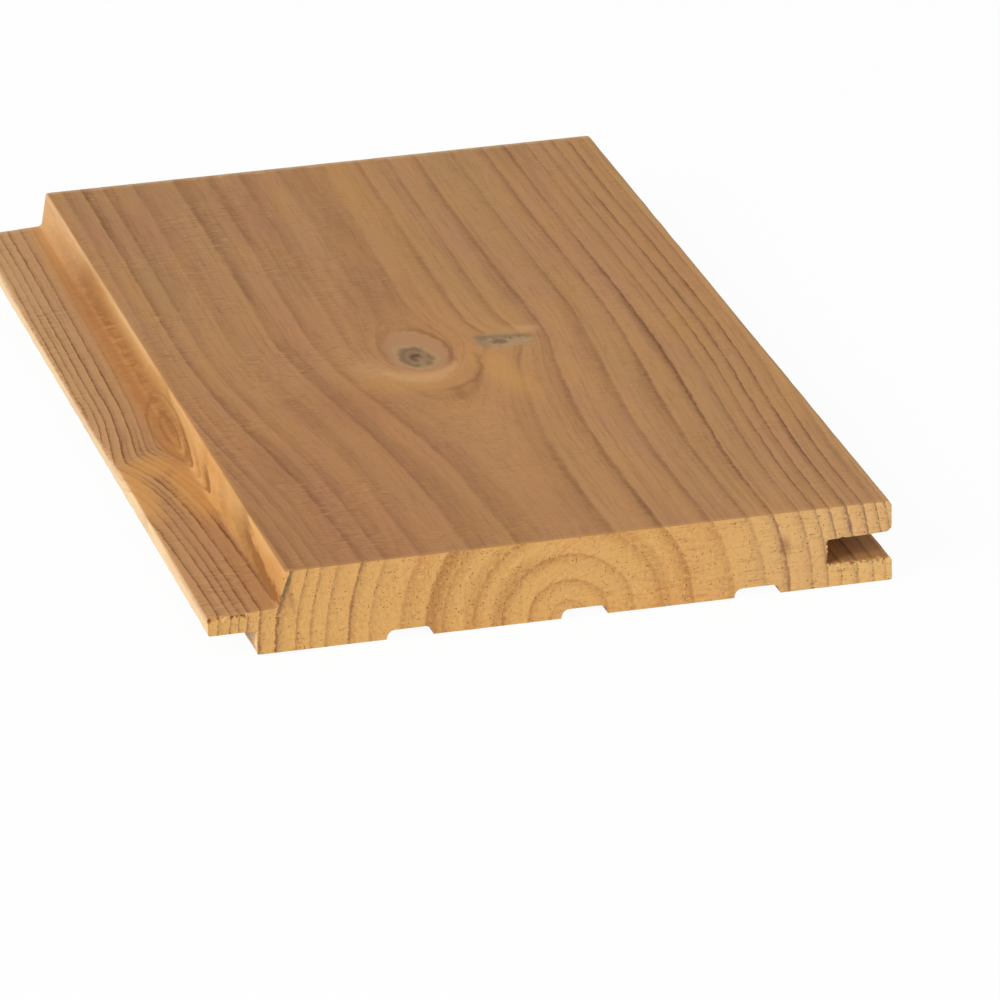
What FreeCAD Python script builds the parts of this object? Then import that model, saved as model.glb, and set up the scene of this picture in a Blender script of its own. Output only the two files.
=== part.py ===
import FreeCAD, Part
import math
import os

# A tongue and groove board lying on its underside with its show face up, in millimetres.
# X runs across it from tongue to groove, Y along the grain and Z up. The origin lies under
# the board, at the middle of its overall width and of its length.

# Board
length = 270.0
thickness = 20.0
face_width = 146.5  # show face, from the top of the rebate wall to the grooved edge

# Tongued edge
tongue_reach = 18.5  # tip of the tongue, out from the show face
tongue_underside = 6.0  # height above the board's underside
tongue_root = 5.1  # thickness at the foot of the rebate wall
tongue_tip = 4.3  # thickness at the tip
tongue_arris = 0.5  # rounding of the tip's two edges
shoulder_reach = 7.0  # shoulder below the tongue, out from the show face
shoulder_arris = 0.3
wall_slant = 10.0  # degrees that the rebate wall above the tongue leans outwards
wall_foot_radius = 1.2
face_arris = 0.4  # rounding where the rebate wall meets the show face

# Grooved edge. It takes the tongue of the next board, whose shoulder stops against it.
tip_clearance = 4.0  # beyond the tongue's tip
floor_clearance = 0.25  # under the tongue
roof_clearance = 1.5  # over the tongue, at the groove's mouth
roof_flare = 1.6  # degrees that the groove's roof rises towards its mouth
face_edge_radius = 1.2  # upper lip, at the show face
mouth_radius = 0.8  # both lips, at the groove's mouth
lower_edge_arris = 0.3  # lower lip, at the underside

# Relief grooves along the underside, which let the board lie flat
relief_count = 3
relief_width = 11.3  # at the underside
relief_depth = 2.2
relief_spacing = 42.0
relief_offset = 1.75  # middle of the pattern, from the middle of the underside towards the groove
relief_flank = 78.0  # degrees between a flank and the underside
relief_corner_radius = 2.0

# Places worked out from those sizes
overall_width = tongue_reach + face_width
tongue_end = -overall_width / 2
groove_end = overall_width / 2
face_start = tongue_end + tongue_reach
shoulder = face_start - shoulder_reach
foot_height = tongue_underside + tongue_root
foot_reach = (thickness - foot_height) * math.tan(math.radians(wall_slant))


def tongue_top(reach):
    # Height of the tongue's sloping top at this distance out from the show face.
    slope = (tongue_root - tongue_tip) / (tongue_reach - foot_reach)
    return foot_height - slope * (reach - foot_reach)


def tongued_edge():
    # From the show face down the rebate wall, round the tongue and down the shoulder.
    # Each corner is (x, z, radius), here and in the two functions below.
    return [
        (face_start, thickness, face_arris),
        (face_start - foot_reach, foot_height, wall_foot_radius),
        (tongue_end, tongue_top(tongue_reach), tongue_arris),
        (tongue_end, tongue_underside, tongue_arris),
        (shoulder, tongue_underside, 0),
        (shoulder, 0, shoulder_arris),
    ]


def relieved_underside():
    # The relief grooves one after the other, from the tongued edge to the grooved one.
    corners = []
    middle = (shoulder + groove_end) / 2 + relief_offset
    flank_run = relief_depth / math.tan(math.radians(relief_flank))
    for number in range(relief_count):
        centre = middle + (number - (relief_count - 1) / 2) * relief_spacing
        left = centre - relief_width / 2
        right = centre + relief_width / 2
        corners += [
            (left, 0, 0),
            (left + flank_run, relief_depth, relief_corner_radius),
            (right - flank_run, relief_depth, relief_corner_radius),
            (right, 0, 0),
        ]
    return corners


def grooved_edge():
    # From the underside up the lower lip, round the groove and up the upper lip.
    depth = tongue_reach - shoulder_reach + tip_clearance
    floor = tongue_underside - floor_clearance
    roof = tongue_top(shoulder_reach) + roof_clearance
    roof_drop = depth * math.tan(math.radians(roof_flare))
    return [
        (groove_end, 0, lower_edge_arris),
        (groove_end, floor, mouth_radius),
        (groove_end - depth, floor, 0),
        (groove_end - depth, roof - roof_drop, 0),
        (groove_end, roof, mouth_radius),
        (groove_end, thickness, face_edge_radius),
    ]


def rounded_outline(corners, y):
    # Closed wire of straight runs and tangent arcs at this y. Where a run is too short for
    # the arcs at its two ends, both shrink to share it.
    points = [FreeCAD.Vector(x, y, z) for x, z, radius in corners]
    count = len(points)
    runs = [points[(i + 1) % count] - points[i] for i in range(count)]
    half_angles = []
    setbacks = []
    for i in range(count):
        half_angle = (-runs[i - 1]).getAngle(runs[i]) / 2
        half_angles.append(half_angle)
        setbacks.append(corners[i][2] / math.tan(half_angle))
    room = [
        min(1, runs[i].Length / max(setbacks[i] + setbacks[(i + 1) % count], 1e-9))
        for i in range(count)
    ]

    edges = []
    pen = None
    first = None
    for i in range(count):
        setback = setbacks[i] * min(room[i - 1], room[i])
        back = FreeCAD.Vector(runs[i - 1]).normalize() * -1
        ahead = FreeCAD.Vector(runs[i]).normalize()
        start = points[i] + back * setback
        end = points[i] + ahead * setback
        if pen is not None and (start - pen).Length > 1e-6:
            edges.append(Part.LineSegment(pen, start).toShape())
        if setback > 0:
            radius = setback * math.tan(half_angles[i])
            inwards = (back + ahead).normalize()
            middle = points[i] + inwards * (radius / math.sin(half_angles[i]) - radius)
            edges.append(Part.Arc(start, middle, end).toShape())
        if first is None:
            first = start
        pen = end
    edges.append(Part.LineSegment(pen, first).toShape())
    return Part.Wire(edges)


def make_board():
    section = tongued_edge() + relieved_underside() + grooved_edge()
    outline = rounded_outline(section, -length / 2)
    return Part.Face(outline).extrude(FreeCAD.Vector(0, length, 0))


board = make_board()
os.makedirs("parts", exist_ok=True)
board.exportStep("parts/board.step")
box = board.BoundBox
print("board", round(box.XLength, 2), "x", round(box.YLength, 2), "x", round(box.ZLength, 2), "mm")
print("solids", len(board.Solids), "valid", board.isValid(), "cm3", round(board.Volume / 1000, 1))
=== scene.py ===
import math
from types import SimpleNamespace

import bpy
import numpy as np
from mathutils import Matrix, Vector
from mathutils.geometry import delaunay_2d_cdt


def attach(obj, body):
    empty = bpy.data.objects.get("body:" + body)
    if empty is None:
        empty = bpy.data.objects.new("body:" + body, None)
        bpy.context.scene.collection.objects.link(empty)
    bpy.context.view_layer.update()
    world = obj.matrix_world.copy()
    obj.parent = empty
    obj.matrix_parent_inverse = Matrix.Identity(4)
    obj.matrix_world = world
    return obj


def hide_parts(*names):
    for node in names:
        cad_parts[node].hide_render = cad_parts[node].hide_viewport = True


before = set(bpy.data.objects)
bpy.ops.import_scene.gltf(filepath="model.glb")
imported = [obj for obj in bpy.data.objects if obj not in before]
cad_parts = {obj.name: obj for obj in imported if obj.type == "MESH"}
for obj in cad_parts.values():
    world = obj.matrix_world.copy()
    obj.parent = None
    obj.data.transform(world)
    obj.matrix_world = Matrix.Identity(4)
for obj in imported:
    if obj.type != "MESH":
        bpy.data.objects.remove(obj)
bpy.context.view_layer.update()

# A tongue and groove board cut from a softwood log. Lengths below are in millimetres, in the
# board's own directions: x across from the tongue to the groove, y along the grain from the
# near end, z up. x is 0 at the left of the show face and y is 0 at the near end, so that
# places on the board can be read off with a ruler. inMetres turns them into the frame's.

board = {
    "length": 270.0,
    "thickness": 20.0,
    "faceWidth": 146.5,
    "tongueReach": 18.5,
    "tongueUnderside": 6.0,
    "tongueRoot": 5.1,
    "tongueTip": 4.3,
    "tongueArris": 0.5,
    "shoulderReach": 7.0,
    "shoulderArris": 0.3,
    "wallSlant": 10.0,  # degrees
    "wallFootRadius": 1.2,
    "faceArris": 0.4,
    "tipClearance": 4.0,
    "floorClearance": 0.25,
    "roofClearance": 1.5,
    "roofFlare": 1.6,  # degrees
    "faceEdgeRadius": 1.2,
    "mouthRadius": 0.8,
    "lowerEdgeArris": 0.3,
    "reliefCount": 3,
    "reliefWidth": 11.3,
    "reliefDepth": 2.2,
    "reliefSpacing": 42.0,
    "reliefOffset": 1.75,
    "reliefFlank": 78.0,  # degrees
    "reliefCornerRadius": 2.0,
}
# How far apart the points of each run of the outline are, how brown it is drawn (0 freshly cut, 1
# weathered brown, which also carries painted shade that keeps the upward faces darker) and how
# wide it is drawn on the bake map.
runs = {
    "showFace": (0.9, 1.0, 1.0),
    "wall": (0.8, 0.0, 1.0),
    "tongueTop": (0.8, 1.0, 1.0),
    "tip": (0.7, 0.0, 1.0),
    "tongueUnder": (1.5, 0.2, 0.4),
    "shoulder": (1.2, 0.0, 0.6),
    "land": (2.5, 0.55, 0.35),
    "relief": (1.6, 0.45, 0.35),
    "lowerLip": (1.0, 0.1, 0.6),
    # The groove's brownness darkens its inside as painted shade
    "groove": (0.6, 0.6, 0.4),
    "upperLip": (1.0, 0.1, 0.6),
}
stationCount = 208  # cross-sections along the board
crowding = 0.6  # how much closer together they are near the ends, 0 to 1
arcStep = 0.35  # between the points of a rounded corner
capStep = 0.95  # between the points of the two end faces
sharpAngle = 35.0  # degrees: edges that turn more are shaded sharp
mapGap = 3.0  # between the strips of the baked map
mapMargin = 0.004  # round the baked map, as a share of it


def boardCorners():
    # Corners of the cross-section, anticlockwise seen from the near end, as x, z, rounding
    # radius and the name of the run that starts there.
    b = board
    top = b["thickness"]
    right = b["faceWidth"]
    tip = -b["tongueReach"]
    shoulder = -b["shoulderReach"]
    under = b["tongueUnderside"]
    foot = under + b["tongueRoot"]
    footOut = (top - foot) * math.tan(math.radians(b["wallSlant"]))
    fall = (b["tongueRoot"] - b["tongueTip"]) / (b["tongueReach"] - footOut)
    corners = [
        (right, top, b["faceEdgeRadius"], "showFace"),
        (0, top, b["faceArris"], "wall"),
        (-footOut, foot, b["wallFootRadius"], "tongueTop"),
        (tip, foot - fall * (b["tongueReach"] - footOut), b["tongueArris"], "tip"),
        (tip, under, b["tongueArris"], "tongueUnder"),
        (shoulder, under, 0, "shoulder"),
        (shoulder, 0, b["shoulderArris"], "land"),
    ]
    middle = (shoulder + right) / 2 + b["reliefOffset"]
    run = b["reliefDepth"] / math.tan(math.radians(b["reliefFlank"]))
    for number in range(b["reliefCount"]):
        centre = middle + (number - (b["reliefCount"] - 1) / 2) * b["reliefSpacing"]
        left = centre - b["reliefWidth"] / 2
        end = centre + b["reliefWidth"] / 2
        corners += [
            (left, 0, 0, "relief"),
            (left + run, b["reliefDepth"], b["reliefCornerRadius"], "relief"),
            (end - run, b["reliefDepth"], b["reliefCornerRadius"], "relief"),
            (end, 0, 0, "land"),
        ]
    depth = b["tongueReach"] - b["shoulderReach"] + b["tipClearance"]
    floor = under - b["floorClearance"]
    roof = foot - fall * (b["shoulderReach"] - footOut) + b["roofClearance"]
    drop = depth * math.tan(math.radians(b["roofFlare"]))
    corners += [
        (right, 0, b["lowerEdgeArris"], "lowerLip"),
        (right, floor, b["mouthRadius"], "groove"),
        (right - depth, floor, 0, "groove"),
        (right - depth, roof - drop, 0, "groove"),
        (right, roof, b["mouthRadius"], "upperLip"),
    ]
    return corners


def roundedOutline(corners):
    # Straight runs joined by tangent arcs: an arc of radius r starts r / tan(half angle)
    # from its corner. Gives the points, each one's brownness and each step's map width.
    spots = np.array([corner[:2] for corner in corners], float)
    radii = np.array([corner[2] for corner in corners], float)
    ahead = np.roll(spots, -1, axis=0) - spots
    lengths = np.hypot(ahead[:, 0], ahead[:, 1])
    ahead /= lengths[:, None]
    back = -np.roll(ahead, 1, axis=0)
    halfAngles = np.arccos((ahead * back).sum(1)) / 2
    setbacks = radii / np.tan(halfAngles)
    room = np.minimum(1, lengths / np.maximum(setbacks + np.roll(setbacks, -1), 1e-9))
    setbacks *= np.minimum(room, np.roll(room, 1))
    radii = setbacks * np.tan(halfAngles)
    starts = spots + back * setbacks[:, None]
    ends = spots + ahead * setbacks[:, None]
    points = []
    browns = []
    widths = []
    for i, corner in enumerate(corners):
        step, brown, width = runs[corner[3]]
        before = runs[corners[i - 1][3]]
        if setbacks[i] > 0:
            inwards = (ahead[i] + back[i]) / np.linalg.norm(ahead[i] + back[i])
            centre = spots[i] + inwards * radii[i] / math.sin(halfAngles[i])
            first = math.atan2(*(starts[i] - centre)[::-1])
            turn = math.atan2(*(ends[i] - centre)[::-1]) - first
            turn = (turn + math.pi) % (2 * math.pi) - math.pi
            count = max(3, round(abs(turn) * radii[i] / arcStep))
            part = np.arange(count) / count
            angles = first + turn * part
            points.append(centre + radii[i] * np.stack([np.cos(angles), np.sin(angles)], 1))
            browns.append(before[1] + (brown - before[1]) * part)
            widths.append(np.full(count, max(width, before[2])))
        length = np.linalg.norm(starts[(i + 1) % len(corners)] - ends[i])
        if length > 1e-6:
            count = max(1, round(length / step))
            part = np.arange(count)[:, None] / count
            points.append(ends[i] + (starts[(i + 1) % len(corners)] - ends[i]) * part)
            browns.append(np.full(count, brown))
            widths.append(np.full(count, width))
    return np.concatenate(points), np.concatenate(browns), np.concatenate(widths)


# The log that the board was sawn from. Rings are counted outwards from the pith, and a
# ring's radius is at the near end. Rows that follow the board's length start with y.
log = {
    # Each ring: its radius, then how dark its line is at the left of the show face, at the
    # right of it, at the left of the near end and at the right of it.
    "rings": [
        (4.3, 0.12, 0.12, 0.22, 0.28), (9.6, 0.16, 0.16, 0.36, 0.30),
        (16.0, 0.18, 0.26, 0.48, 0.26), (23.1, 0.25, 0.27, 0.40, 0.32),
        (30.6, 0.30, 0.38, 0.36, 0.42), (40.4, 0.16, 0.29, 0.26, 0.27),
        (48.0, 0.24, 0.34, 0.21, 0.24), (53.4, 0.38, 0.46, 0.52, 0.62),
        (59.0, 0.17, 0.27, 0.27, 0.40), (62.7, 0.25, 0.36, 0.33, 0.48),
        (66.0, 0.24, 0.50, 0.36, 0.66), (70.0, 0.50, 0.54, 0.60, 0.95),
        (73.9, 0.52, 0.42, 0.56, 0.78), (76.8, 0.46, 0.30, 0.52, 0.66),
        (78.9, 0.38, 0.30, 0.50, 0.56), (80.9, 0.46, 0.26, 0.48, 0.5),
        (83.8, 0.50, 0.26, 0.42, 0.42), (86.6, 0.50, 0.26, 0.40, 0.40),
        (90.0, 0.40, 0.26, 0.40, 0.40), (93.5, 0.40, 0.26, 0.40, 0.40),
        (97.0, 0.40, 0.26, 0.40, 0.40),
    ],
    "pith": [  # y, x, z
        (0, 67.5, 0.0), (30, 66.9, 0.0), (60, 66.1, 0.1), (100, 65.0, 1.5), (130, 64.6, 3.6),
        (160, 64.7, 5.2), (205, 64.9, 6.5), (270, 65.5, 7.3),
    ],
    "growth": [  # y, how much thicker the log is there
        (0, 0.0), (25, 0.1), (50, 0.5), (75, 1.6), (100, 3.4), (125, 5.0), (145, 5.8),
        (165, 5.3), (190, 4.9), (215, 4.5), (270, 4.3),
    ],
    # y, and how far the inner rings lie towards the grooved side there
    "innerShift": [(0, 0.0), (150, 0.0), (190, 0.5), (215, 1.3), (240, 1.5), (270, 2.3)],
    "leftThinning": (61.0, 77.0, 0.67),  # outer rings on the tongued side grow less
    "sideGrowth": [  # y, and how much further out the outer rings lie at the left and right
        (0, -0.9, 0.5), (30, -0.3, 1.1), (60, 0.6, 2.3), (90, 1.0, 2.8), (125, 0.0, 1.9),
        (145, -0.6, 1.0), (165, -0.3, 1.2), (210, -0.1, 1.2), (270, -0.1, 0.8),
    ],
    # The rebate's wall runs almost along the rings: y, and how much higher rings lie there.
    "wallLift": [
        (0, 0.2), (30, 0.75), (55, 0.6), (75, 0.4), (95, 0.6), (115, 1.0), (140, 1.0),
        (270, 0.7),
    ],
    # Branches at the show face: x, y, how far they push the rings out, spread across,
    # spread towards the near end and spread towards the far end.
    "faceBranches": [
        (63.4, 129.0, 5.6, 9.0, 14.0, 10.5),
        (87.0, 133.0, 3.2, 7.0, 9.0, 6.5),
    ],
    # A branch that comes out through the tongue: its height, its spread upwards, its y at
    # 66.5 mm from the pith and how far that moves per mm further out, and the push along y.
    "tongueBranch": (11.3, 2.8, 112.0, -0.7),
    "tonguePush": [
        (-55, 0.0), (-40, 0.25), (-30, 0.8), (-20, 1.9), (-12, 3.3), (-5, 5.2), (0, 6.4),
        (5, 5.6), (12, 3.9), (20, 2.2), (28, 0.8), (36, 0.1), (45, 0.0),
    ],
}


def smoothThrough(at, rows, column=1):
    # Cubic Hermite curve through the rows, with each row's slope taken from its neighbours.
    rows = np.array(rows, float)
    knots = rows[:, 0]
    values = rows[:, column]
    slopes = np.gradient(values, knots)
    at = np.clip(at, knots[0], knots[-1])
    i = np.clip(np.searchsorted(knots, at, side="right") - 1, 0, len(knots) - 2)
    span = knots[i + 1] - knots[i]
    t = (at - knots[i]) / span
    return (
        (1 + 2 * t) * (1 - t) ** 2 * values[i]
        + t * (1 - t) ** 2 * span * slopes[i]
        + t**2 * (3 - 2 * t) * values[i + 1]
        + t**2 * (t - 1) * span * slopes[i + 1]
    )


def easeBetween(x, low, high):
    # 0 below low, 1 above high and 3t^2 - 2t^3 between them.
    t = np.clip((x - low) / (high - low), 0, 1)
    return t * t * (3 - 2 * t)


def grainPlace(x, y, z):
    # Where a point lies in the straight log before its branches pushed the rings out: the
    # distance from the pith, less the growth and the pushes, along the same direction.
    acrossPith = x - smoothThrough(y, log["pith"], 1)
    upPith = z - smoothThrough(y, log["pith"], 2)
    distance = np.hypot(acrossPith, upPith)
    acrossPith = acrossPith - smoothThrough(y, log["innerShift"]) * np.exp(-((distance / 28) ** 2))
    distance = np.hypot(acrossPith, upPith)
    growth = smoothThrough(y, log["growth"])
    low, high, share = log["leftThinning"]
    thinning = share * easeBetween(distance - growth, low, high) * easeBetween(-x, -30, 0)
    reach = distance - growth * (1 - thinning)
    outer = easeBetween(reach, 42, 60)
    reach = reach - smoothThrough(y, log["sideGrowth"], 2) * outer * easeBetween(x, 70, 90)
    outer = outer * easeBetween(x, -3, 1) * easeBetween(-x, -60, -40)
    reach = reach - smoothThrough(y, log["sideGrowth"], 1) * outer
    onWall = easeBetween(z, 11, 17) * easeBetween(-x, -10, -1)
    reach = reach + smoothThrough(y, log["wallLift"]) * onWall
    for branchX, branchY, push, across, near, far in log["faceBranches"]:
        along = np.where(y < branchY, near, far)
        bump = np.exp(-0.5 * ((x - branchX) / across) ** 2 - 0.5 * ((y - branchY) / along) ** 2)
        reach = reach - push * bump * easeBetween(z, 4, 16)
    height, spread, centre, drift = log["tongueBranch"]
    axis = centre + drift * (distance - 66.5)
    push = smoothThrough(y - axis, log["tonguePush"])
    push = push * np.exp(-0.5 * ((z - height) / spread) ** 2) * easeBetween(-x, -22, -4)
    reach = np.maximum(reach - push, 0.02)
    shrink = reach / np.maximum(distance, 1e-6)
    return np.stack([acrossPith * shrink, y, upPith * shrink], -1)


def inMetres(x, y, z):
    # From the board's own millimetres to the frame, whose origin is under its middle.
    left = (board["faceWidth"] - board["tongueReach"]) / 2
    return np.stack([x - left, y - board["length"] / 2, z], -1) / 1000


def ripple(x, y, z, size, seed):
    # Smooth bumps between -1 and 1: the tanh of a sum of sines in fixed random directions.
    random = np.random.default_rng(seed)
    total = 0
    for _ in range(7):
        direction = random.normal(size=3)
        direction /= np.linalg.norm(direction)
        wave = size * random.uniform(0.6, 1.6)
        total = total + np.sin(
            2 * math.pi * (x * direction[0] + y * direction[1] + z * direction[2]) / wave
            + random.uniform(0, 2 * math.pi)
        )
    return np.tanh(total / 2.5)


wear = {
    "arris": 0.10,  # how far long edges wander inwards
    "arrisSpread": 0.8,
    "arrisWave": 9.0,
    "sawn": 0.10,  # unevenness of the two cut ends
    "sawnReach": 3.0,
    "sawnWave": 7.0,
    # Bits broken out: x, y, z, radius and how far they go in along x, y and z.
    "nicks": [
        (-18.5, 0.0, 10.3, 1.6, 0.7, 0.9, -0.6),
        (-17.9, 0.0, 10.3, 1.3, 0.1, 1.4, -0.9),
        (-15.6, 0.0, 10.4, 1.5, 0.1, 1.3, -0.7),
        (-12.4, 0.0, 10.5, 0.8, 0.0, 0.5, -0.3),
        (-9.6, 0.0, 10.7, 0.9, 0.0, 0.5, -0.3),
        (0.2, 0.0, 20.0, 1.3, 0.3, 0.5, -0.4),
        (131.0, 0.0, 6.4, 1.0, -0.6, 0.6, -0.3),
        (131.0, 0.0, 7.9, 0.8, -0.5, 0.6, 0.0),
        (131.0, 0.0, 9.3, 0.7, -0.35, 0.4, 0.0),
        (131.0, 0.0, 10.8, 0.9, -0.5, 0.6, 0.1),
        (133.0, 0.0, 5.7, 1.0, 0.2, 0.7, -0.5),
        (135.1, 0.0, 5.7, 0.8, 0.0, 0.6, -0.35),
        (137.0, 0.0, 5.7, 1.0, 0.2, 0.9, -0.6),
        (139.2, 0.0, 5.7, 0.8, 0.1, 0.6, -0.35),
        (141.2, 0.0, 5.7, 1.0, -0.1, 0.9, -0.5),
        (143.4, 0.0, 5.7, 1.1, -0.1, 0.9, -0.55),
        (145.5, 0.0, 5.8, 0.9, 0.0, 0.6, -0.35),
        (134.5, 0.0, 11.9, 0.8, 0.0, 0.4, 0.15),
        (146.3, 0.0, 12.4, 1.0, -0.15, 0.4, 0.2),
    ],
}


def endFaces(outline):
    # Triangles that fill the outline, from its own points and a grid of points inside it.
    low = outline.min(0)
    high = outline.max(0)
    columns = np.arange(low[0] + capStep / 2, high[0], capStep)
    rows = np.arange(low[1] + capStep / 2, high[1], capStep)
    grid = np.stack(np.meshgrid(columns, rows), -1).reshape(-1, 2)
    grid[:, 0] += capStep * 0.25 * (np.round(grid[:, 1] / capStep - 0.5) % 2)
    ahead = np.roll(outline, -1, axis=0)
    spans = (outline[:, 1] > grid[:, 1:2]) != (ahead[:, 1] > grid[:, 1:2])
    rise = np.where(np.abs(ahead[:, 1] - outline[:, 1]) < 1e-9, 1e-9, ahead[:, 1] - outline[:, 1])
    crossing = outline[:, 0] + (grid[:, 1:2] - outline[:, 1]) * (ahead - outline)[:, 0] / rise
    inside = (spans & (crossing > grid[:, :1])).sum(1) % 2 == 1
    clear = np.sqrt(((grid[:, None] - outline[None]) ** 2).sum(-1)).min(1) > capStep * 0.5
    grid = grid[inside & clear]
    spots = [Vector(spot) for spot in np.concatenate([outline, grid]).tolist()]
    sides = [(i, (i + 1) % len(outline)) for i in range(len(outline))]
    found = delaunay_2d_cdt(spots, sides, [], 1, 1e-7)
    source = np.array([origins[0] for origins in found[3]])
    return grid, source[np.array(found[2])]


def boardSurface():
    # The outline carried along y, closed by the two end faces. Stations lie at half the
    # length times (1 - crowding) s + crowding sin(pi s / 2), with s from -1 to 1.
    outline, brown, width = roundedOutline(boardCorners())
    count = len(outline)
    s = np.linspace(-1, 1, stationCount)
    y = board["length"] / 2 * (1 + (1 - crowding) * s + crowding * np.sin(math.pi * s / 2))
    across = np.tile(outline[:, 0], (stationCount, 1))
    up = np.tile(outline[:, 1], (stationCount, 1))
    along = np.tile(y[:, None], (1, count))
    grid, triangles = endFaces(outline)
    near = np.arange(count)
    far = (stationCount - 1) * count + near
    extra = stationCount * count + np.arange(len(grid))
    x = np.concatenate([across.ravel(), grid[:, 0], grid[:, 0]])
    z = np.concatenate([up.ravel(), grid[:, 1], grid[:, 1]])
    y = np.concatenate([along.ravel(), np.zeros(len(grid)), np.full(len(grid), board["length"])])
    i, j = np.meshgrid(near, np.arange(stationCount - 1))
    follow = (i + 1) % count
    quads = np.stack(
        [j * count + i, (j + 1) * count + i, (j + 1) * count + follow, j * count + follow], -1
    ).reshape(-1, 4)
    nearCap = np.concatenate([near, extra])[triangles]
    farCap = np.concatenate([far, extra + len(grid)])[triangles][:, ::-1]
    faces = quads.tolist() + nearCap.tolist() + farCap.tolist()
    browns = np.concatenate([np.tile(brown, stationCount), np.zeros(2 * len(grid))])
    isEnd = np.concatenate([np.zeros(len(quads)), np.ones(2 * len(triangles))])

    # The bake map: the runs side by side, then the two ends on their sides.
    steps = np.linalg.norm(np.roll(outline, -1, axis=0) - outline, axis=1) * width
    mapX = np.concatenate([[0], np.cumsum(steps)])
    endLeft = mapX[-1] + mapGap
    farLeft = endLeft + board["thickness"] + mapGap
    mapSize = np.array([farLeft + board["thickness"] + mapGap, board["length"]])
    corner = np.stack([mapX[i], mapX[i], mapX[i + 1], mapX[i + 1]], -1).reshape(-1)
    quadMap = np.stack([corner, y[quads].reshape(-1)], -1)
    nearMap = np.stack([endLeft + z[nearCap], board["tongueReach"] + x[nearCap]], -1)
    farMap = np.stack([farLeft + z[farCap], board["tongueReach"] + x[farCap]], -1)
    bakeMap = np.concatenate([quadMap, nearMap.reshape(-1, 2), farMap.reshape(-1, 2)])
    bakeMap = mapMargin + (1 - 2 * mapMargin) * bakeMap / mapSize
    return x, y, z, faces, browns, isEnd, bakeMap, outline


def wornPlaces(x, y, z):
    # The points moved by wear: long edges wander, cut ends are uneven and small bits are
    # broken out. All of it goes inwards, so that the board stays its own size.
    toEnd = np.minimum(y, board["length"] - y)
    atEnd = 1 - easeBetween(toEnd, 0, wear["sawnReach"])
    uneven = wear["sawn"] * (0.5 + 0.5 * ripple(x, y * 0, z, wear["sawnWave"], 11))
    inwards = np.sign(board["length"] / 2 - y) * uneven * atEnd
    newX = x.copy()
    newY = y + inwards
    newZ = z.copy()
    edges = [  # x, z and the way inwards
        (0, board["thickness"], 1, -1),
        (board["faceWidth"], board["thickness"], -1, -1),
        (-board["tongueReach"], 10.3, 1, -1),
        (-board["tongueReach"], 6.0, 1, 1),
        (board["faceWidth"], 5.75, -1, -1),
        (board["faceWidth"], 12.3, -1, 1),
        (-board["shoulderReach"], 0, 1, 1),
    ]
    for seed, (edgeX, edgeZ, towardsX, towardsZ) in enumerate(edges):
        close = np.exp(-(((x - edgeX) ** 2 + (z - edgeZ) ** 2) / wear["arrisSpread"] ** 2))
        waves = ripple(x * 0, y, z * 0, wear["arrisWave"], seed)
        wander = wear["arris"] * close * (0.5 + 0.5 * waves)
        newX += towardsX * wander
        newZ += towardsZ * wander
    for nickX, nickY, nickZ, radius, inX, inY, inZ in wear["nicks"]:
        apart = np.sqrt((x - nickX) ** 2 + (y - nickY) ** 2 + (z - nickZ) ** 2)
        deep = np.clip(1 - apart / radius, 0, 1)
        newX += inX * deep
        newY += inY * deep
        newZ += inZ * deep
    return newX, newY, newZ


def makeBoard():
    x, y, z, faces, browns, isEnd, bakeMap, outline = boardSurface()
    grain = grainPlace(x, y, z)
    wornX, wornY, wornZ = wornPlaces(x, y, z)
    mesh = bpy.data.meshes.new("plankMesh")
    mesh.from_pydata(inMetres(wornX, wornY, wornZ).tolist(), [], faces)
    mesh.attributes.new("grain", "FLOAT_VECTOR", "POINT").data.foreach_set(
        "vector", grain.astype(np.float32).ravel()
    )
    # brown: the weathered brown, with painted shade on the upward faces and in the groove
    mesh.attributes.new("brown", "FLOAT", "POINT").data.foreach_set(
        "value", browns.astype(np.float32)
    )
    mesh.attributes.new("endCut", "FLOAT", "FACE").data.foreach_set(
        "value", isEnd.astype(np.float32)
    )
    layer = mesh.uv_layers.new(name="OFBake")
    layer.uv.foreach_set("vector", bakeMap.astype(np.float32).ravel())
    mesh.shade_smooth()
    mesh.set_sharp_from_angle(angle=math.radians(sharpAngle))
    mesh.update()
    plank = bpy.data.objects.new("plank", mesh)
    bpy.context.scene.collection.objects.link(plank)
    print("plank:", len(mesh.vertices), "points,", len(outline), "round the section")
    return plank


def paint(red, green, blue):
    # A colour as the eye names it, 0 to 255, in the linear light that the shader works in.
    seen = np.array([red, green, blue]) / 255
    linear = np.where(seen <= 0.04045, seen / 12.92, ((seen + 0.055) / 1.055) ** 2.4)
    return (*linear.tolist(), 1.0)


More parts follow.
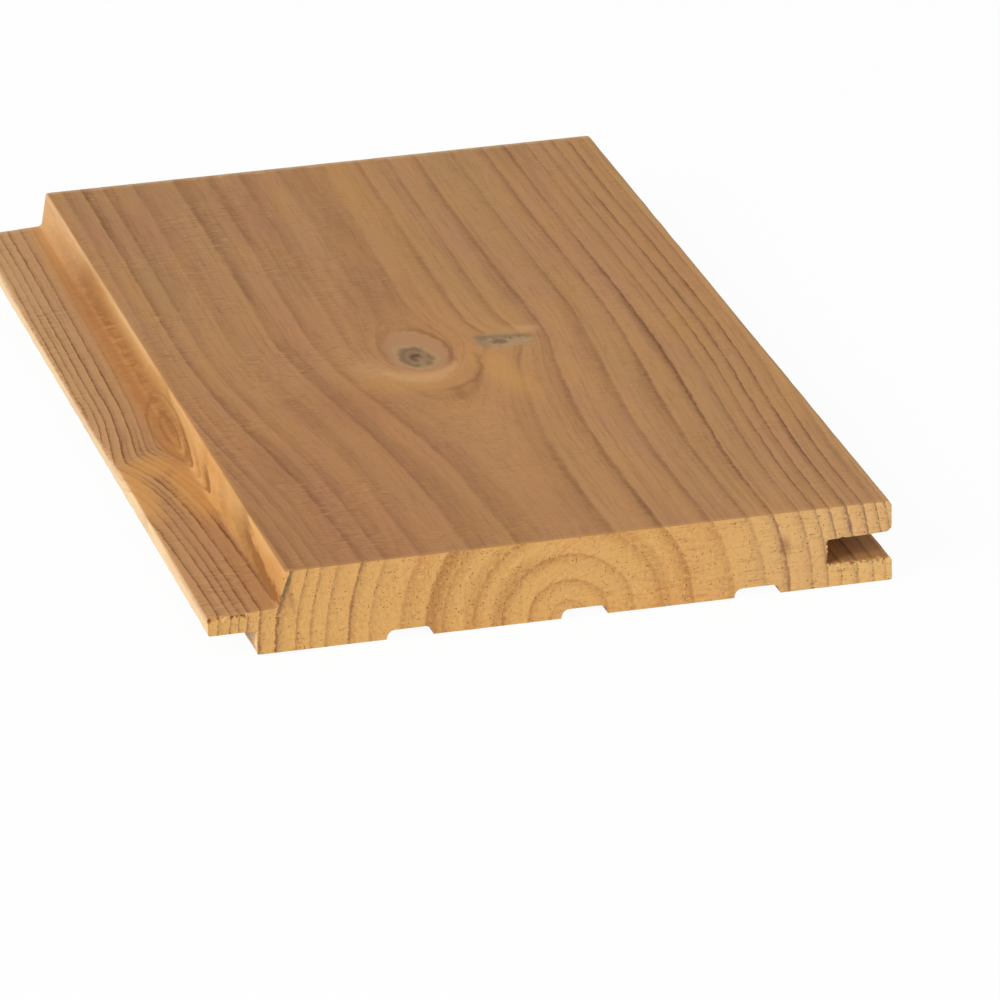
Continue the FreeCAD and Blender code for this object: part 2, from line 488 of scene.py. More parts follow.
class Wire:
    # One output of a node. Sums, differences, products and shares of wires add Math nodes.
    def __init__(self, recipe, socket):
        self.recipe = recipe
        self.socket = socket

    def maths(self, operation, *values):
        return self.recipe.add(
            "ShaderNodeMath", {"operation": operation}, dict(enumerate(values))
        )

    def __add__(self, other):
        return self.maths("ADD", self, other)

    def __radd__(self, other):
        return self.maths("ADD", other, self)

    def __sub__(self, other):
        return self.maths("SUBTRACT", self, other)

    def __rsub__(self, other):
        return self.maths("SUBTRACT", other, self)

    def __mul__(self, other):
        return self.maths("MULTIPLY", self, other)

    def __rmul__(self, other):
        return self.maths("MULTIPLY", other, self)

    def __truediv__(self, other):
        return self.maths("DIVIDE", self, other)

    def __rtruediv__(self, other):
        return self.maths("DIVIDE", other, self)

    def output(self, name):
        # Another output of the same node.
        return Wire(self.recipe, self.socket.node.outputs[name])

    def timesPlus(self, factor, more):
        return self.maths("MULTIPLY_ADD", self, factor, more)

    def near(self, value, width):
        # 1 where the wire has the value, smoothly down to 0 where it is off by the width.
        return (self - value).size().ease(width, 0.0)

    def root(self):
        return self.maths("SQRT", self)

    def fraction(self):
        return self.maths("FRACT", self)

    def size(self):
        return self.maths("ABSOLUTE", self)

    def atMost(self, other):
        return self.maths("MINIMUM", self, other)

    def atLeast(self, other):
        return self.maths("MAXIMUM", self, other)

    def ease(self, low, high, top=1.0, bottom=0.0):
        # The top where the wire is high and the bottom where it is low, smooth between. low
        # may exceed high.
        ends = {"From Min": low, "From Max": high, "To Min": bottom, "To Max": top}
        smooth = {"interpolation_type": "SMOOTHSTEP"}
        return self.recipe.add("ShaderNodeMapRange", smooth, {"Value": self, **ends})


class Recipe:
    # A material's node tree, written as expressions.
    def __init__(self, name):
        self.material = bpy.data.materials.new(name)
        self.material.use_nodes = True
        self.nodes = self.material.node_tree.nodes
        self.links = self.material.node_tree.links
        self.shader = self.nodes["Principled BSDF"]
        self.output = self.nodes["Material Output"]

    def add(self, kind, settings=None, sockets=None, out=0):
        node = self.nodes.new(kind)
        for name, value in (settings or {}).items():
            if name == "stops":
                while len(node.color_ramp.elements) < len(value):
                    node.color_ramp.elements.new(1)
                for element, (position, colour) in zip(node.color_ramp.elements, value):
                    element.position = position
                    element.color = colour
            elif name == "blending":
                node.color_ramp.interpolation = value
            elif name == "curve":
                points = node.mapping.curves[0].points
                while len(points) < len(value):
                    points.new(0.5, 0.5)
                for point, place in zip(points, value):
                    point.location = place
                node.mapping.update()
            else:
                setattr(node, name, value)
        for name, value in (sockets or {}).items():
            self.join(node.inputs[name], value)
        return Wire(self, node.outputs[out])

    def join(self, socket, value):
        if isinstance(value, Wire):
            self.links.new(value.socket, socket)
        elif socket.default_value != value:
            socket.default_value = value

    def mix(self, first, second, factor):
        # Colours mixed by the factor, 0 all first and 1 all second.
        return self.add(
            "ShaderNodeMix", {"data_type": "RGBA"}, {0: factor, 6: first, 7: second}, 2
        )

    def layers(self, colour, *coats):
        # Coats of colour laid over the first one in turn, each by its own amount.
        for coat, amount in coats:
            colour = self.mix(colour, coat, amount)
        return colour

    def vectorMaths(self, operation, *values, out=0):
        settings = {"operation": operation}
        return self.add("ShaderNodeVectorMath", settings, dict(enumerate(values)), out)

    def joined(self, x, y, z):
        return self.add("ShaderNodeCombineXYZ", None, {0: x, 1: y, 2: z})

    def stretch(self, place, x, y, z, move=(0, 0, 0)):
        # A place divided by a size in each direction, so that a pattern of size 1 fills it.
        return self.vectorMaths("MULTIPLY_ADD", place, (1 / x, 1 / y, 1 / z), move)

    def noise(self, place, detail=2.0, roughness=0.5):
        return self.add(
            "ShaderNodeTexNoise",
            None,
            {"Vector": place, "Scale": 1.0, "Detail": detail, "Roughness": roughness},
        )


# The look of the wood. Colours are as seen, 0 to 255.
wood = {
    # Show face and tongue: weathered brown, with painted shade that keeps these upward faces
    # darker than the cut edges and ends
    "early": (182, 134, 89),
    "olive": (174, 131, 84),
    "pink": (181, 129, 90),
    "golden": (190, 138, 82),
    "amber": (184, 121, 64),
    "russet": (166, 110, 72),
    "lateAndShade": (118, 74, 40),
    "tongueLate": (128, 80, 40),
    "tongueAsh": (186, 151, 114),
    "root": (178, 121, 68),
    # Freshly cut edges, whose pale, gold and early colours also paint highlights on some edges
    "cutEarlyAndHighlight": (221, 169, 103),
    "cutGoldAndHighlight": (210, 151, 82),
    "cutPaleAndHighlight": (242, 210, 164),
    "cutLate": (146, 95, 47),
    "wallRoot": (155, 101, 51),
    # End grain
    "endEarly": (216, 167, 99),
    "endPink": (214, 157, 94),
    "endYellow": (231, 186, 110),
    "endLate": (122, 74, 58),
    "endCore": (166, 110, 58),
    "endOlive": (96, 82, 56),
    # The dark of pores and torn fibres, also laid as painted shade inside the groove
    "speckAndShade": (96, 54, 30),
    # Knots
    "knotWarm": (218, 156, 94),
    "knotGold": (202, 148, 82),
    "knotCream": (212, 163, 110),
    "knotFill": (179, 133, 94),
    "knotEdge": (112, 76, 48),
    "knotHalo": (184, 144, 102),
    "knotAsh": (178, 144, 102),
    "knotSlate": (146, 120, 98),
    "knotHeart": (92, 66, 46),
}
# Colours from the heart of the round knot to its rim, at shares of its radius
knotRings = [
    (0.00, (88, 58, 38)),
    (0.22, (102, 72, 48)),
    (0.36, (138, 108, 76)),
    (0.52, (148, 118, 84)),
    (0.66, (128, 102, 70)),
    (0.80, (116, 94, 64)),
    (0.92, (154, 124, 86)),
    (1.00, (180, 143, 100)),
]
# How strong the marks are that cover whole faces, 0 to 1, and how the surface shines
marks = {
    "drift": 0.7,  # slow olive and pink of the show face
    "hairs": 0.2,  # fine lines beside the rings
    "streaks": 0.24,  # dark streaks along the grain
    "goldStreaks": 0.36,
    "chatter": 0.42,  # painted shade on one side of the planer's ripples across the grain
    # painted highlight on the other side of those ripples
    "chatterHighlight": 0.28,
    "endRays": 0.38,
    "endMottle": 0.5,
    "pores": 0.9,
    "inGroove": 0.2,  # painted shade inside the groove
    "roughness": 0.62,
    "roughnessSpread": 0.14,
    "shine": 0.22,
    "bump": 0.35,
    "bumpHeight": 0.0002,  # metres
}


def oval(flat, centreX, centreY, radiusX, radiusY, turn=0.0):
    # Distance from the centre of an ellipse, 1 on its rim: the length of a place's two shares
    # of the radii. flat holds the place and, as its third number, 1.
    m = flat.recipe
    if not turn:
        back = (-centreX / radiusX, -centreY / radiusY, -1)
        shares = m.stretch(flat, radiusX, radiusY, 1, back)
        return m.vectorMaths("LENGTH", shares, out="Value")
    c = math.cos(math.radians(turn))
    s = math.sin(math.radians(turn))
    acrossIt = (c / radiusX, s / radiusX, -(centreX * c + centreY * s) / radiusX)
    alongIt = (-s / radiusY, c / radiusY, (centreX * s - centreY * c) / radiusY)
    acrossIt = m.vectorMaths("DOT_PRODUCT", flat, acrossIt, out="Value")
    alongIt = m.vectorMaths("DOT_PRODUCT", flat, alongIt, out="Value")
    return alongIt.timesPlus(alongIt, acrossIt * acrossIt).root()


def readWood(m):
    # Wires that the colours share: where a point lies on the board and in the log, its ring,
    # how dark that ring's line is, and patterns that more than one colour reads.
    at = SimpleNamespace()
    objectPlace = m.add("ShaderNodeTexCoord", out="Object")
    left = (board["faceWidth"] - board["tongueReach"]) / 2
    at.place = m.stretch(objectPlace, 0.001, 0.001, 0.001, (left, board["length"] / 2, 0))
    at.x = m.add("ShaderNodeSeparateXYZ", None, {0: at.place})
    at.y = at.x.output("Y")
    at.z = at.x.output("Z")
    at.flat = m.joined(at.x, at.y, 1)
    at.onTongue = at.x.ease(0.5, -1.5)
    at.grain = m.add("ShaderNodeAttribute", {"attribute_name": "grain"}, out="Vector")
    at.grainX = m.add("ShaderNodeSeparateXYZ", None, {0: at.grain})
    at.grainY = at.grainX.output("Y")
    at.grainZ = at.grainX.output("Z")

    # Rings: the distance from the pith, swayed a little, through the curve of ring radii,
    # which makes it a count of rings.
    sway = m.noise(m.stretch(at.grain, 22, 75, 22), 1.0)
    at.jag = m.noise(m.stretch(at.grain, 1.1, 4.5, 1.1)) - 0.5
    at.radius = at.grainZ.timesPlus(at.grainZ, at.grainX * at.grainX).root()
    at.swayed = at.jag.timesPlus(0.85, at.radius + sway - 1)
    radii = [row[0] for row in log["rings"]]
    count = len(radii)
    curve = [(0, 0)] + [(each / 100, (i + 1) / count) for i, each in enumerate(radii)]
    share = m.add("ShaderNodeFloatCurve", {"curve": curve}, {"Value": at.swayed / 100})
    at.ring = share * count
    stops = [(i / count, row[1:]) for i, row in enumerate(log["rings"])]
    ramp = {"blending": "CONSTANT", "stops": stops}
    darkness = m.add("ShaderNodeValToRGB", ramp, {"Fac": share})
    at.leftLine = m.add("ShaderNodeSeparateColor", None, {0: darkness})
    at.rightLine = at.leftLine.output("Green")
    at.endLeftLine = at.leftLine.output("Blue")
    at.endRightLine = darkness.output("Alpha")

    # Late wood is darkest just inside each ring's radius, where the count's fraction nears 1.
    phase = at.ring.fraction()
    outside = phase.ease(1.0, 0.9)
    at.base = phase.ease(0.05, 0.85) * outside
    at.broad = phase.ease(0.45, 0.88) * outside
    at.crisp = phase.ease(0.76, 0.9) * phase.ease(1.0, 0.94)
    at.between = phase.ease(0.22, 0.4) * phase.ease(0.56, 0.48)  # a second line, at the branch
    at.hairs = m.noise(m.joined(at.swayed / 0.9, at.grainY / 90, at.grainX / 60), 3.0, 0.6)

    at.slowPink = m.noise(m.stretch(at.place, 20, 80, 20, (9.7, 2.4, 0)), 1.0)
    at.slowGold = m.noise(m.stretch(at.place, 9, 40, 9, (5.7, 7.4, 0)), 2.0)
    at.streak = m.noise(m.stretch(at.grain, 0.7, 14, 0.7), 3.0, 0.6)
    at.chatter = m.noise(m.stretch(at.place, 3.2, 0.85, 3.2), 2.0, 0.6) - 0.5

    # Torn and slanting fibres in the rebate, round the branch that comes out through it
    slanting = m.joined((at.y + 2.2 * at.z) / 2.4, at.z / 5, at.x / 3)
    at.ruffle = m.noise(slanting, 3.0, 0.6)
    at.mess = (at.ruffle - 0.5) * 5
    at.swirl = oval(at.flat, -5, 90, 12, 36).ease(1.2, 0.6)
    at.rootAlong = at.y.ease(80, 120).atLeast(at.y.ease(66, 30, 0.36)) * at.y.ease(264, 215)
    return at


def faceKnots(m, w, face, at):
    # The two knots of the show face, painted over the face colour.
    drift = m.noise(m.stretch(at.place, 3.4, 5.0, 3.4), 1.0) - 0.5
    mottle = m.noise(m.stretch(at.place, 1.2, 2.0, 1.2, (4.7, 8.1, 0)), 3.0, 0.65)
    stray = mottle - 0.5
    x = at.x + 2.6 * drift + 0.7 * stray
    y = at.y + 2.0 * stray
    flat = m.joined(x, y, 1)
    under = oval(flat, 61.6, 125, 9.4, 14).near(1, 0.4) * y.ease(122, 115)
    arm = oval(flat, 64, 122, 13.3, 20.5).near(1, 0.09) * x.ease(60, 68) * y.ease(128, 120)
    eye = oval(flat, 63.6, 129.5, 8.4, 15.5)
    sides = x.ease(61.5, 68.5, 0.7, 0.15) + x.ease(59, 54, 0.3)
    rim = eye.near(1, 0.16) * y.ease(113, 123) * sides
    core = oval(flat, 62.7, 125.2, 4.3, 7.4)
    stops = [(share, paint(*colour)) for share, colour in knotRings]
    inside = m.add("ShaderNodeValToRGB", {"stops": stops}, {"Fac": core / 1.12 + 0.55 * stray})
    inside = m.mix(inside, w["knotHalo"], drift.ease(0.02, 0.25, 0.5))
    face = m.layers(
        face,
        # Warm and golden wood round both knots, and the dark arm below the round one
        (w["knotWarm"], oval(flat, 72, 126, 42, 54).ease(1.2, 0.3, 0.12)),
        (w["knotGold"], oval(flat, 80.6, 110, 6.5, 24, 9).ease(1.15, 0.25, 0.6)),
        (w["knotGold"], oval(flat, 56, 109.5, 15, 9, -14).ease(1.2, 0.1, 0.5)),
        (w["knotCream"], oval(flat, 50.5, 121, 8, 8, -20).ease(1.2, 0.0, 0.3)),
        (w["knotCream"], under * (0.1 + 1.0 * mottle)),
        (w["lateAndShade"], arm * 0.38),
        (w["lateAndShade"], oval(flat, 67, 99, 2.6, 6).ease(1.2, 0.0, 0.34)),
        # The round knot in its eye
        (w["knotFill"], eye.ease(1.02, 0.7, 0.75)),
        (w["knotEdge"], rim * (0.3 + 0.7 * mottle)),
        (w["knotHalo"], core.ease(1.5, 1.0) * (0.2 + 0.7 * mottle)),
        (inside, core.ease(1.35, 0.65, 0.95)),
    )

    # The flat knot beside it, dark along its far edge
    slab = oval(flat, 86.2, 130.4, 7.6, 5.4, -14)
    slate = x.ease(84, 80).atLeast(mottle.ease(0.5, 0.7, 0.7))
    farEdge = y + (x - 86.2) * 0.16 - 132.8
    streak = (farEdge + 3 * stray).size().ease(2.4, 0.2)
    streak = streak * (x - 87).size().ease(8.5, 4.44)
    heart = oval(flat, 85.2, 129.6, 2.3, 1.9)
    return m.layers(
        face,
        (m.mix(w["knotAsh"], w["knotSlate"], slate), slab.ease(1.2, 0.7, 0.85)),
        (w["knotHeart"], streak * (0.3 + 0.8 * mottle) * 0.6),
        (w["knotCream"], oval(flat, 93, 136.5, 5, 3, -14).ease(1.4, 0.0, 0.5)),
        (w["knotHeart"], heart.ease(1.4, 0.4, 0.6)),
    )


def weatheredAndShadedFace(m, w, at):
    # The brown of the show face and of the top of the tongue: weathered wood, with painted shade
    # that keeps these upward faces darker than the cut edges.
    x, y, onTongue = at.x, at.y, at.onTongue
    slow = m.noise(m.stretch(at.place, 30, 130, 30, (3.1, 0.4, 0)), 1.0)
    bands = m.noise(m.joined(at.swayed / 5, at.grainY / 110, at.grainX / 26), 2.0)
    paler = x.ease(60, 100, 0.1) + oval(at.flat, 66, 70, 12, 50).ease(1.2, 0, 0.12)
    tipSide = y.ease(60, 260, 0.36, 0.16) + x.ease(-10, -18, 0.16)
    face = m.layers(
        w["early"],
        (w["olive"], slow.ease(0.42, 0.66, marks["drift"])),
        (w["pink"], at.slowPink.ease(0.42, 0.66, marks["drift"])),
        (w["golden"], at.slowGold.ease(0.45, 0.7, 0.55)),
        (w["golden"], at.swayed.ease(24, 12) * x.ease(58, 76, 0.5)),  # near the pith
        (w["amber"], y.ease(230, 70) * x.ease(100, 60, 0.22)),
        (w["cutEarlyAndHighlight"], paler),
        (w["cutEarlyAndHighlight"], x.ease(143, 146, 0.5)),  # painted highlight on the rounded edge above the groove
        (w["lateAndShade"], bands.ease(0.5, 0.72, 0.2)),
        (w["golden"], bands.ease(0.48, 0.3, 0.35)),
        (w["lateAndShade"], oval(at.flat, 66.8, 228, 4.5, 66).ease(1.2, 0.1, 0.2)),
        (w["russet"], oval(at.flat, 38, 98, 20, 20).ease(1.2, 0.2, 0.4)),
        (w["russet"], x.ease(62, 10) * y.ease(120, 20, 0.35)),
        (w["golden"], oval(at.flat, 86, 50, 10, 90).ease(1.2, 0.2, 0.4)),
        (w["cutEarlyAndHighlight"], onTongue * tipSide),
        (w["root"], onTongue * x.ease(-12, -3, 0.4)),
        (w["tongueAsh"], onTongue * y.ease(50, 240, 0.42, 0.14)),
    )

    # Lines of late wood: soft at the left of the show face, crisp at its right and on the tongue
    right = x.ease(52, 82)
    sharp = right.atLeast(onTongue)
    fade = m.noise(m.stretch(at.grain, 6, 45, 6, (2.2, 0, 0)), 2.0).ease(0.25, 0.65, 1.15, 0.6)
    line = at.leftLine * (1 - right) + at.rightLine * right
    line = line * fade * x.ease(140, 144, 0.5, 1) * (1 + 1.2 * at.chatter)
    line = line * (1 + 0.3 * onTongue) * (1 + y.ease(120, 260) * (0.4 - 0.7 * sharp))
    lines = at.broad * (0.68 - 0.16 * sharp) + at.crisp * (0.15 + 0.75 * sharp)
    lines = lines + at.base * (0.36 - 0.23 * sharp) + at.between * at.swirl * 0.7
    lines = lines * line * (1 + 0.25 * at.swirl * onTongue)
    fine = marks["hairs"] + 0.06 * right + 0.3 * at.swirl
    patches = m.noise(m.stretch(at.place, 16, 26, 16, (1.3, 4.4, 0)), 1.0).ease(0.4, 0.64)
    patches = patches * x.ease(85, 30, 1, 0.35) + 0.15
    face = m.layers(
        face,
        (m.mix(w["lateAndShade"], w["tongueLate"], onTongue), lines.atMost(1)),
        (w["lateAndShade"], at.hairs.ease(0.46, 0.76) * fine),
        (w["lateAndShade"], at.streak.ease(0.52, 0.76, marks["streaks"])),
        (w["golden"], at.streak.ease(0.48, 0.25, marks["goldStreaks"])),
        # Planer ripples across the grain: painted shade on one side and painted highlight on the
        # other
        (w["lateAndShade"], at.chatter.ease(0.0, 0.3, marks["chatter"]) * patches),
        (w["cutEarlyAndHighlight"], at.chatter.ease(-0.02, -0.3, marks["chatterHighlight"]) * patches),
    )
    face = m.mix(face, faceKnots(m, w, face, at), at.z.ease(17, 19))

    # Golden rims as a painted highlight along the near and left edges of the show face, golden
    # wood where the branch passes and orange wood at the foot of the wall
    rim = y.ease(2.2, 0).atLeast(x.ease(1.8, 0) * x.ease(-0.5, 0, 0.8))
    stray = m.joined(x + at.mess, y, 1)
    gold = oval(stray, -4, 80, 6, 24).ease(1.2, 0.4)
    gold = gold.atLeast(oval(stray, -16.8, 82, 4.5, 24).ease(1.2, 0.3))
    gold = gold.atLeast(oval(stray, -10, 96, 9, 9).ease(1.2, 0.3)) * 0.72
    foot = (x + at.mess * 0.8).ease(-7.5, -2.2) * y.ease(66, 100)
    return m.layers(
        face,
        (w["cutGoldAndHighlight"], rim * (0.5 + at.chatter) * 0.7),
        (w["cutPaleAndHighlight"], (y + 6 * at.chatter).ease(267.5, 270, 0.35)),
        (w["cutGoldAndHighlight"], gold.atLeast(foot * 0.6) * onTongue),
        (w["root"], foot * onTongue * at.rootAlong * (0.4 + 0.9 * at.ruffle)),
    )


def cutEdges(m, w, at):
    # Freshly cut wood: the wall, the tongue's tip, the shoulder and the lips of the groove.
    x, y, z = at.x, at.y, at.z
    outer = x.ease(-17.8, -18.4).atLeast(x.ease(-6.0, -6.8) * z.ease(6.3, 5.7))
    lowWall = (z + at.mess * 0.7).ease(20.5, 13.5) * x.ease(3, 0) * z.ease(8, 10)
    # The wall hardly shows its rings high above the branch, by the near end and far back.
    plain = z.ease(13.5, 18) * (at.swirl + y.ease(60, 50, 0.5)) + y.ease(205, 235)
    shown = 1 - 0.75 * plain
    lines = at.broad * 0.45 + at.crisp * 0.45 + at.base * 0.1 + at.between * at.swirl * 0.4
    lines = lines * at.leftLine * (1.1 + 1.0 * at.ruffle) * shown
    lines = lines * (1 + 0.6 * lowWall + 1.0 * at.swirl) * (1 - 0.8 * outer)
    return m.layers(
        w["cutEarlyAndHighlight"],
        (w["cutGoldAndHighlight"], at.slowGold.ease(0.4, 0.7)),
        (w["cutPaleAndHighlight"], z.ease(18.0, 19.6) * x.ease(6, 2) * y.ease(70, 200, 0.4)),
        # Painted highlight on the tongue's tip and the shoulder, which face the lamp
        (w["cutPaleAndHighlight"], outer * 0.85),
        (w["wallRoot"], lowWall * at.rootAlong * at.ruffle.ease(0.25, 0.65, 0.97, 0.55)),
        (w["cutPaleAndHighlight"], y.ease(190, 250, 0.15)),
        (w["tongueAsh"], y.ease(190, 250) * z.ease(8, 10, 0.2)),
        (w["cutLate"], at.hairs.ease(0.46, 0.72) * (0.1 + 0.15 * at.swirl) * shown),
        (w["cutLate"], lines.atMost(0.85)),
        (w["cutLate"], at.streak.ease(0.5, 0.8, 0.3)),
    )


def branchLoops(m, at):
    # Rings round the branch in the rebate: ovals on the tongue and the wall, unrolled into
    # one strip that starts at the tip.
    strip = (at.x + 18.4).atMost(16.9) + (at.z - 11.1).atLeast(0) + at.mess * 0.12 + 0.5 * at.jag
    flat = m.joined(strip, at.y, 1)
    loop = oval(flat, 18, 117, 5.1, 21)
    eye = oval(flat, 17.3, 116, 1.9, 10)
    crescent = loop.near(0.95, 0.22) * at.y.ease(116, 104) * strip.ease(14, 18)
    loops = (loop.near(1, 0.12) * 0.48).atLeast(eye.near(1, 0.35) * 0.45)
    return loops.atLeast(crescent * 0.7) * at.x.ease(0.2, 0.0) * at.z.ease(8, 9.5)


def endGrain(m, w, at):
    # The two ends: rings, broad soft bands in some of them, rays, mottle and pores.
    x, z, swayed = at.x, at.z, at.swayed
    flat = m.joined(x, z, 1)
    core = at.radius.ease(52, 36)
    right = x.ease(60, 75)
    line = at.endLeftLine * (1 - right) + at.endRightLine * right
    mottle = m.noise(m.stretch(at.place, 1.1, 9, 1.1, (0.3, 0, 0)), 3.0, 0.6)
    lines = at.broad * (0.36 + 0.24 * core) + at.crisp * (0.62 - 0.12 * core) + at.base * 0.14
    lines = lines * line * (0.5 + 1.25 * mottle)
    band = swayed.ease(28.5, 32.8) * swayed.ease(34.6, 33.3) * x.ease(60, 50, 0.72)
    band = band.atLeast(swayed.ease(14.5, 16) * swayed.ease(19.5, 16.5) * x.ease(64, 56, 0.4))
    band = band.atLeast(swayed.ease(21.5, 23.2) * swayed.ease(26, 23.8, 0.26))
    lines = lines.atLeast(band * (0.6 + 0.8 * mottle)).atMost(1)
    angle = m.add("ShaderNodeMath", {"operation": "ARCTAN2"}, {0: at.grainZ, 1: at.grainX})
    rays = m.noise(m.joined(angle * at.radius / 0.55, at.radius / 7, 0.0), 2.0)
    pores = m.noise(m.stretch(at.place, 0.5, 4, 0.5), 0.5)
    clumps = m.noise(m.stretch(at.place, 2.5, 20, 2.5, (7, 0, 0)), 2.0)
    porous = clumps.ease(0.45, 0.66, 1.2) + at.broad * line + band
    # Torn fibres round the mouth of the groove and along the top of the tongue
    torn = z.ease(4.7, 5.6) * z.ease(6.3, 5.9).atLeast(x.ease(131.2, 130.8)) * z.ease(12.4, 11.8)
    torn = torn * x.ease(130.1, 130.8)
    torn = torn.atLeast(z.ease(9.3, 10.2) * x.ease(-7, -9))
    olive = at.ring.ease(11.66, 11.8) * at.ring.ease(12.0, 11.95) * z.ease(9, 17) * x.ease(6, 2)
    return m.layers(
        w["endEarly"],
        (w["endPink"], at.slowPink.ease(0.4, 0.7, 0.6)),
        (m.mix(w["endLate"], w["endCore"], core), lines),
        (w["cutPaleAndHighlight"], x.ease(85, 146, 0.2)),
        (w["endYellow"], x.ease(130, 133) * z.ease(6, 5, 0.4)),  # the lower lip
        (w["endCore"], rays.ease(0.5, 0.75, marks["endRays"])),
        (w["endCore"], mottle.ease(0.5, 0.8, marks["endMottle"])),
        (w["endYellow"], mottle.ease(0.48, 0.25, marks["endMottle"])),
        (w["speckAndShade"], (pores.ease(0.62, 0.72, marks["pores"]) * porous).atMost(0.65)),
        (w["speckAndShade"], torn * mottle.ease(0.47, 0.6, 0.75)),
        # Two dark smudges, and the olive line that comes out at the corner of the wall
        (w["endLate"], oval(flat, 120.5, 11.5, 1.6, 3.2, 8).ease(1.2, 0.2, 0.45)),
        (w["endLate"], oval(flat, 1.5, 12.5, 1.1, 3.6, 8).ease(1.2, 0.2, 0.3)),
        (w["endOlive"], olive * 0.6),
    )


def woodMaterial():
    w = {name: paint(*colour) for name, colour in wood.items()}
    m = Recipe("planedSoftwood")
    at = readWood(m)
    brown = m.add("ShaderNodeAttribute", {"attribute_name": "brown"}, out="Fac")
    endCut = m.add("ShaderNodeAttribute", {"attribute_name": "endCut"}, out="Fac")
    inGroove = at.x.ease(130, 132) * at.z.ease(5.4, 6.4) * at.z.ease(13, 11.8)
    torn = at.y.ease(4.5, 0) * at.streak.ease(0.35, 0.6, 1.45, 0.35)
    colour = m.layers(
        cutEdges(m, w, at),
        # Weathered brown with painted shade, where the brown attribute says
        (weatheredAndShadedFace(m, w, at), brown),
        # Painted shade inside the groove, with torn fibres by the near end
        (w["speckAndShade"], inGroove * (marks["inGroove"] + torn)),
        (w["cutLate"], branchLoops(m, at) * (0.4 + at.ruffle)),
        (endGrain(m, w, at), endCut),
    )
    m.join(m.shader.inputs["Base Color"], colour)
    roughness = marks["roughness"] + marks["roughnessSpread"] * (at.streak - 0.5)
    m.join(m.shader.inputs["Roughness"], roughness)
    m.join(m.shader.inputs["Specular IOR Level"], marks["shine"])
    relief = at.streak * 0.6 + at.chatter * 0.5
    bump = m.add(
        "ShaderNodeBump",
        None,
        {"Strength": marks["bump"], "Distance": marks["bumpHeight"], "Height": relief},
    )
    m.join(m.shader.inputs["Normal"], bump)
    print("wood material:", len(m.nodes), "nodes")
    return m.material


plank = makeBoard()
plank.data.materials.append(woodMaterial())
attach(plank, "root")
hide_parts("board")

# The photographer's table and lamps, in metres
stage = {
    "floorSize": 14.0,
    "floorGlow": 0.96,  # share of the floor that is plain white to the camera
    "card": (236, 236, 236),
    "cardRoughness": 0.9,
    "skyLevel": 0.5,
    # Each lamp: where it stands, its size, and the level that it gives white card facing it.
    "lamps": [
        ((-2.6, -1.4, 1.9), 1.6, 0.72),
        ((0.4, -3.0, 1.2), 1.6, 0.12),
    ],
}


def makeFloor():
    # A flat square that is white to the camera and plain pale card to the lamps.
    half = stage["floorSize"] / 2
    grid = np.linspace(-half, half, 9)
    x, y = np.meshgrid(grid, grid)
    spots = np.stack([x, y, np.full_like(x, -0.0002)], -1).reshape(-1, 3)
    i, j = np.meshgrid(np.arange(8), np.arange(8))
    first = (j * 9 + i).ravel()
    faces = np.stack([first, first + 1, first + 10, first + 9], -1)
    mesh = bpy.data.meshes.new("floorMesh")
    mesh.from_pydata(spots.tolist(), [], faces.tolist())
    m = Recipe("paleCard")
    m.join(m.shader.inputs["Base Color"], paint(*stage["card"]))
    m.join(m.shader.inputs["Roughness"], stage["cardRoughness"])
    rays = m.add("ShaderNodeLightPath", out="Is Camera Ray")
    seen = rays + rays.output("Is Glossy Ray") + rays.output("Is Transmission Ray")
    white = m.add("ShaderNodeEmission", None, {"Color": (1, 1, 1, 1), "Strength": 1.0})
    card = Wire(m, m.shader.outputs[0])
    mixed = m.add(
        "ShaderNodeMixShader",
        None,
        {0: seen.atMost(1) * stage["floorGlow"], 1: card, 2: white},
    )
    m.join(m.output.inputs["Surface"], mixed)
    mesh.materials.append(m.material)
    floor = bpy.data.objects.new("floor", mesh)
    bpy.context.scene.collection.objects.link(floor)


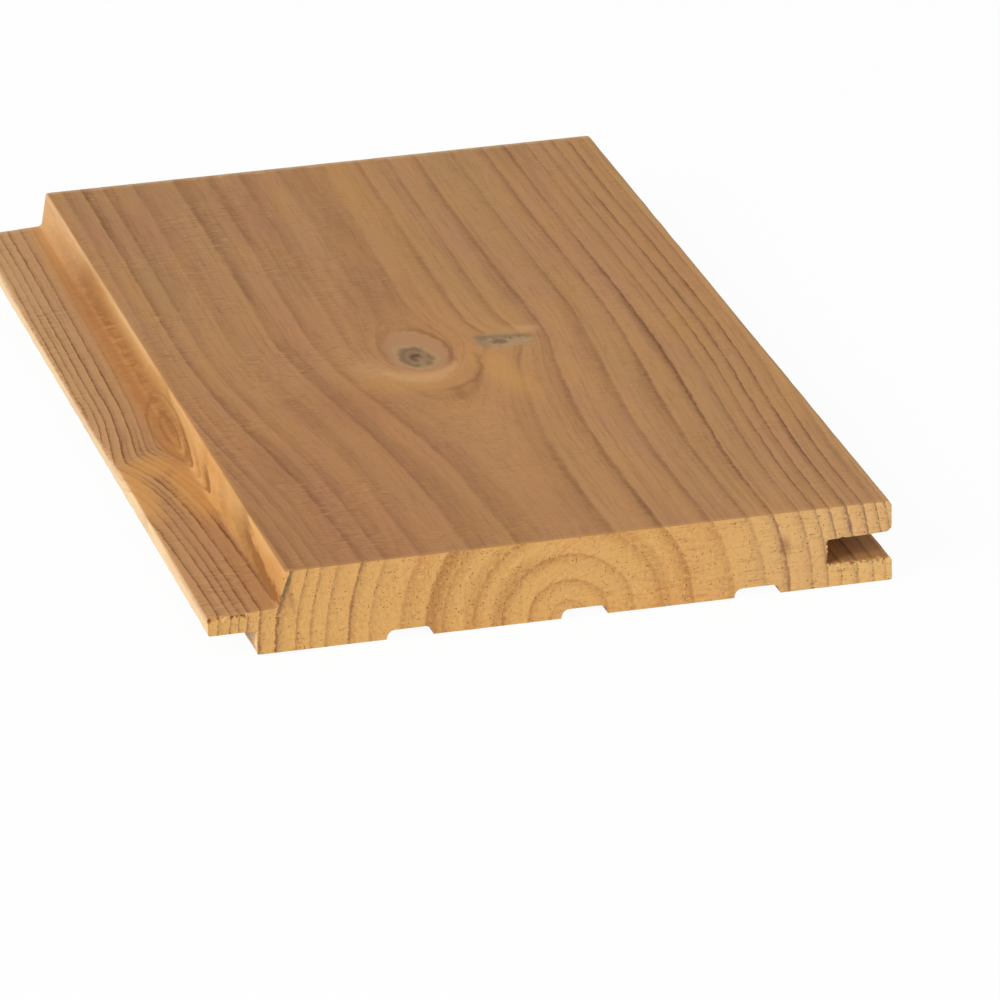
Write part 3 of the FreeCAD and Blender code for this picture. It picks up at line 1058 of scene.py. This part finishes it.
def makeSky():
    # White to the camera and in reflections, and a softer even light on everything.
    world = bpy.data.worlds.new("studio")
    world.use_nodes = True
    bpy.context.scene.world = world
    nodes = world.node_tree.nodes
    links = world.node_tree.links
    rays = nodes.new("ShaderNodeLightPath")
    level = nodes.new("ShaderNodeMapRange")
    level.inputs["To Min"].default_value = stage["skyLevel"]
    level.inputs["To Max"].default_value = 1.0
    links.new(rays.outputs["Is Camera Ray"], level.inputs["Value"])
    nodes["Background"].inputs["Color"].default_value = (1, 1, 1, 1)
    links.new(level.outputs[0], nodes["Background"].inputs["Strength"])


def makeLamps():
    # A square lamp's power for a level L at distance d is L * pi^2 * d^2.
    for number, (spot, size, level) in enumerate(stage["lamps"]):
        lamp = bpy.data.lights.new(f"softbox{number}", "AREA")
        lamp.size = size
        lamp.energy = level * math.pi**2 * Vector(spot).length_squared
        holder = bpy.data.objects.new(f"softbox{number}", lamp)
        holder.location = spot
        holder.rotation_mode = "QUATERNION"
        holder.rotation_quaternion = Vector(spot).to_track_quat("Z", "Y")
        bpy.context.scene.collection.objects.link(holder)


camera = {
    "place": (-0.4553, -1.8931, 0.7609),
    "lens": 303.72,
    "turn": 14.143,  # degrees right of +Y
    "tilt": 21.912,  # degrees down
    "roll": -1.238,
}


def makeCamera():
    # The camera looks down its own -Z with +Y up, so its axes are right, up and backwards.
    turn = math.radians(camera["turn"])
    tilt = math.radians(camera["tilt"])
    roll = math.radians(camera["roll"])
    forwards = Vector(
        (math.sin(turn) * math.cos(tilt), math.cos(turn) * math.cos(tilt), -math.sin(tilt))
    )
    right = Vector((math.cos(turn), -math.sin(turn), 0))
    up = right.cross(forwards)
    rolledRight = math.cos(roll) * right + math.sin(roll) * up
    rolledUp = math.cos(roll) * up - math.sin(roll) * right
    axes = Matrix((rolledRight, rolledUp, -forwards)).transposed()
    lens = bpy.data.cameras.new("camera")
    lens.lens = camera["lens"]
    lens.sensor_width = 36
    lens.clip_start = 0.05
    lens.clip_end = 50
    holder = bpy.data.objects.new("camera", lens)
    holder.matrix_world = Matrix.Translation(camera["place"]) @ axes.to_4x4()
    bpy.context.scene.collection.objects.link(holder)
    bpy.context.scene.camera = holder


makeFloor()
makeSky()
makeLamps()
makeCamera()
bpy.context.scene.view_settings.view_transform = "Standard"
print("stage, lamps and camera are in place")
